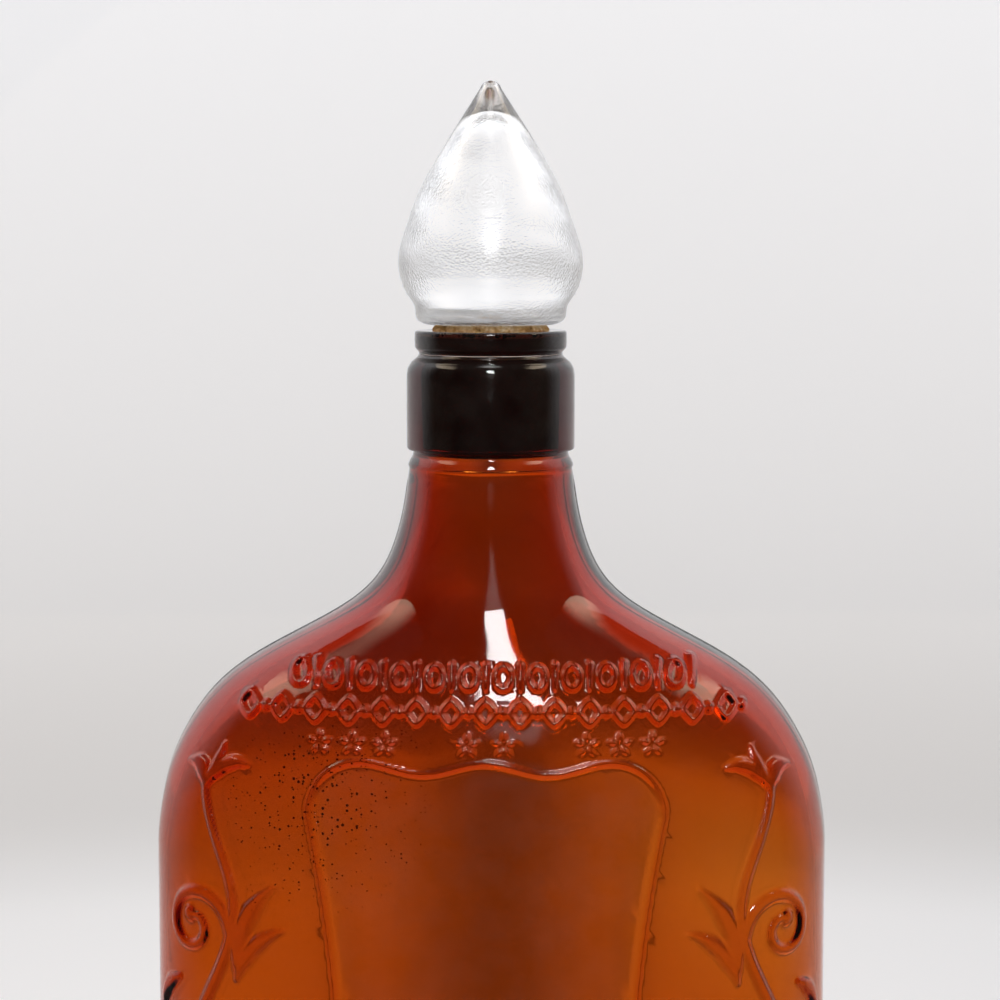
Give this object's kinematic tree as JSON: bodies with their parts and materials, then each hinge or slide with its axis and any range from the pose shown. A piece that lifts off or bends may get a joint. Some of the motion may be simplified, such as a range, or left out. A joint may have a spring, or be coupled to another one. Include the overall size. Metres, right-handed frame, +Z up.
{
  "type": "oval flask liquor bottle with glass stopper",
  "caption": "Flat oval amber glass liquor bottle with an embossed shoulder and a sunk label panel, closed by a hollow flame-shaped clear glass stopper seated in a cork sleeve.",
  "frame": {"origin": "middle of the foot, on the plane the bottle stands on", "axes": "+Z up along the neck, +X along the wide side of the body, front face towards -Y"},
  "size_m": [0.1286, 0.0629, 0.2919],
  "materials": {
    "amber_glass": "amber container glass, fire-polished and slightly wavy",
    "clear_glass": "clear blown glass, smooth, with a few seeds",
    "cork": "old cut cork, matte and pitted"
  },
  "bodies": {
    "flask": {"bottle": "amber_glass"},
    "cork": {"cork_sleeve": "cork"},
    "stopper": {"glass_stopper": "clear_glass"}
  },
  "joints": [
    {"name": "stopper_lift", "type": "slide", "parent": "flask", "child": "cork", "axis": [0, 0, 1], "range_m": [0, 0.06]},
    {"name": "stopper_turn", "type": "hinge", "parent": "cork", "child": "stopper", "pos_m": [0, 0, 0.245], "axis": [0, 0, 1], "continuous": true}
  ]
}
